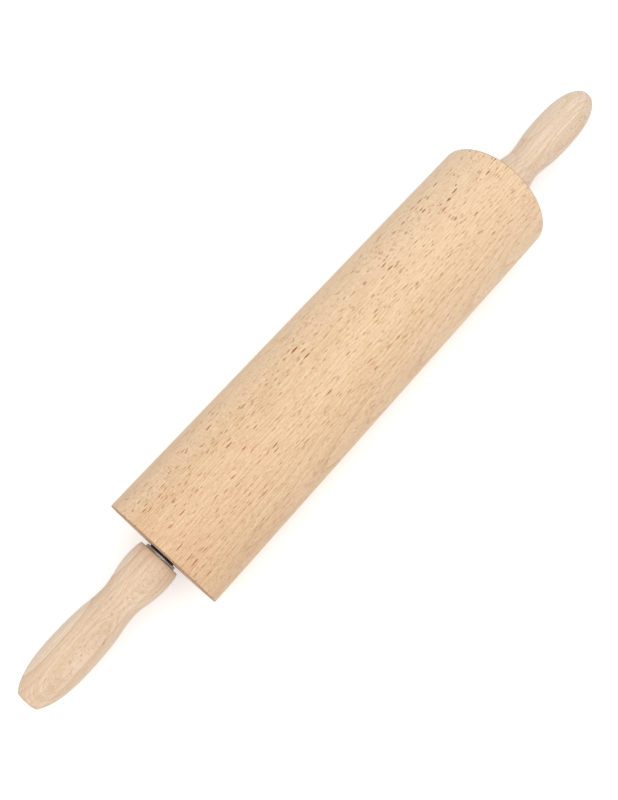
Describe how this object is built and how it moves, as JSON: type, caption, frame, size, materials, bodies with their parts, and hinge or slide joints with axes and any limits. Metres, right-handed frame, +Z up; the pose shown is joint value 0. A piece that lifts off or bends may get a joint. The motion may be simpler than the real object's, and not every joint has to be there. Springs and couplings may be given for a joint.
{
  "type": "rolling pin",
  "caption": "Beech rolling pin with a plain roller that spins on sealed ball bearings and a steel axle, held by turned wooden handles at its ends.",
  "frame": {"origin": "middle of the axle, on the roller's axis at half its length", "axes": "+X along the axle towards the right handle, +Z up from the surface the roller lies on, +Y across the pin"},
  "size_m": [0.4184, 0.065, 0.065],
  "materials": {
    "roller_beech": "sanded raw beech, matte",
    "handle_beech": "turned and sanded raw beech, matte",
    "axle_steel": "drawn bright steel",
    "bearing_steel": "ground bearing steel",
    "ball_steel": "polished chrome steel",
    "washer_zinc": "zinc plated steel",
    "spacer_nylon": "moulded black nylon",
    "cage_nylon": "moulded natural nylon",
    "seal_rubber": "moulded black rubber"
  },
  "bodies": {
    "axle": {"axle": "axle_steel", "left_handle": "handle_beech", "left_washer": "washer_zinc", "left_spacer": "spacer_nylon", "left_bearing_inner_ring": "bearing_steel", "right_handle": "handle_beech", "right_washer": "washer_zinc", "right_spacer": "spacer_nylon", "right_bearing_inner_ring": "bearing_steel"},
    "roller": {"roller": "roller_beech", "left_bearing_outer_ring": "bearing_steel", "left_bearing_outer_seal": "seal_rubber", "left_bearing_inner_seal": "seal_rubber", "right_bearing_outer_ring": "bearing_steel", "right_bearing_outer_seal": "seal_rubber", "right_bearing_inner_seal": "seal_rubber"},
    "left_cage": {"left_bearing_cage": "cage_nylon"},
    "left_ball_1": {"left_ball_1": "ball_steel"},
    "left_ball_2": {"left_ball_2": "ball_steel"},
    "left_ball_3": {"left_ball_3": "ball_steel"},
    "left_ball_4": {"left_ball_4": "ball_steel"},
    "left_ball_5": {"left_ball_5": "ball_steel"},
    "left_ball_6": {"left_ball_6": "ball_steel"},
    "left_ball_7": {"left_ball_7": "ball_steel"},
    "right_cage": {"right_bearing_cage": "cage_nylon"},
    "right_ball_1": {"right_ball_1": "ball_steel"},
    "right_ball_2": {"right_ball_2": "ball_steel"},
    "right_ball_3": {"right_ball_3": "ball_steel"},
    "right_ball_4": {"right_ball_4": "ball_steel"},
    "right_ball_5": {"right_ball_5": "ball_steel"},
    "right_ball_6": {"right_ball_6": "ball_steel"},
    "right_ball_7": {"right_ball_7": "ball_steel"}
  },
  "joints": [
    {"name": "roller_spin", "type": "hinge", "parent": "axle", "child": "roller", "pos_m": [0, 0, 0], "axis": [1, 0, 0], "continuous": true},
    {"name": "left_cage_spin", "type": "hinge", "parent": "axle", "child": "left_cage", "pos_m": [-0.121, 0, 0], "axis": [1, 0, 0], "continuous": true},
    {"name": "left_ball_1_spin", "type": "hinge", "parent": "left_cage", "child": "left_ball_1", "pos_m": [-0.121, 0, 0.0075], "axis": [1, 0, 0], "continuous": true},
    {"name": "left_ball_2_spin", "type": "hinge", "parent": "left_cage", "child": "left_ball_2", "pos_m": [-0.121, -0.00586, 0.00468], "axis": [1, 0, 0], "continuous": true},
    {"name": "left_ball_3_spin", "type": "hinge", "parent": "left_cage", "child": "left_ball_3", "pos_m": [-0.121, -0.00731, -0.00167], "axis": [1, 0, 0], "continuous": true},
    {"name": "left_ball_4_spin", "type": "hinge", "parent": "left_cage", "child": "left_ball_4", "pos_m": [-0.121, -0.00325, -0.00676], "axis": [1, 0, 0], "continuous": true},
    {"name": "left_ball_5_spin", "type": "hinge", "parent": "left_cage", "child": "left_ball_5", "pos_m": [-0.121, 0.00325, -0.00676], "axis": [1, 0, 0], "continuous": true},
    {"name": "left_ball_6_spin", "type": "hinge", "parent": "left_cage", "child": "left_ball_6", "pos_m": [-0.121, 0.00731, -0.00167], "axis": [1, 0, 0], "continuous": true},
    {"name": "left_ball_7_spin", "type": "hinge", "parent": "left_cage", "child": "left_ball_7", "pos_m": [-0.121, 0.00586, 0.00468], "axis": [1, 0, 0], "continuous": true},
    {"name": "right_cage_spin", "type": "hinge", "parent": "axle", "child": "right_cage", "pos_m": [0.121, 0, 0], "axis": [1, 0, 0], "continuous": true},
    {"name": "right_ball_1_spin", "type": "hinge", "parent": "right_cage", "child": "right_ball_1", "pos_m": [0.121, 0, 0.0075], "axis": [1, 0, 0], "continuous": true},
    {"name": "right_ball_2_spin", "type": "hinge", "parent": "right_cage", "child": "right_ball_2", "pos_m": [0.121, 0.00586, 0.00468], "axis": [1, 0, 0], "continuous": true},
    {"name": "right_ball_3_spin", "type": "hinge", "parent": "right_cage", "child": "right_ball_3", "pos_m": [0.121, 0.00731, -0.00167], "axis": [1, 0, 0], "continuous": true},
    {"name": "right_ball_4_spin", "type": "hinge", "parent": "right_cage", "child": "right_ball_4", "pos_m": [0.121, 0.00325, -0.00676], "axis": [1, 0, 0], "continuous": true},
    {"name": "right_ball_5_spin", "type": "hinge", "parent": "right_cage", "child": "right_ball_5", "pos_m": [0.121, -0.00325, -0.00676], "axis": [1, 0, 0], "continuous": true},
    {"name": "right_ball_6_spin", "type": "hinge", "parent": "right_cage", "child": "right_ball_6", "pos_m": [0.121, -0.00731, -0.00167], "axis": [1, 0, 0], "continuous": true},
    {"name": "right_ball_7_spin", "type": "hinge", "parent": "right_cage", "child": "right_ball_7", "pos_m": [0.121, -0.00586, 0.00468], "axis": [1, 0, 0], "continuous": true}
  ],
  "couplings": [
    {"joint": "left_cage_spin", "follows": "roller_spin", "ratio": 0.6323},
    {"joint": "left_ball_1_spin", "follows": "roller_spin", "ratio": 1.7573},
    {"joint": "left_ball_2_spin", "follows": "roller_spin", "ratio": 1.7573},
    {"joint": "left_ball_3_spin", "follows": "roller_spin", "ratio": 1.7573},
    {"joint": "left_ball_4_spin", "follows": "roller_spin", "ratio": 1.7573},
    {"joint": "left_ball_5_spin", "follows": "roller_spin", "ratio": 1.7573},
    {"joint": "left_ball_6_spin", "follows": "roller_spin", "ratio": 1.7573},
    {"joint": "left_ball_7_spin", "follows": "roller_spin", "ratio": 1.7573},
    {"joint": "right_cage_spin", "follows": "roller_spin", "ratio": 0.6323},
    {"joint": "right_ball_1_spin", "follows": "roller_spin", "ratio": 1.7573},
    {"joint": "right_ball_2_spin", "follows": "roller_spin", "ratio": 1.7573},
    {"joint": "right_ball_3_spin", "follows": "roller_spin", "ratio": 1.7573},
    {"joint": "right_ball_4_spin", "follows": "roller_spin", "ratio": 1.7573},
    {"joint": "right_ball_5_spin", "follows": "roller_spin", "ratio": 1.7573},
    {"joint": "right_ball_6_spin", "follows": "roller_spin", "ratio": 1.7573},
    {"joint": "right_ball_7_spin", "follows": "roller_spin", "ratio": 1.7573}
  ]
}
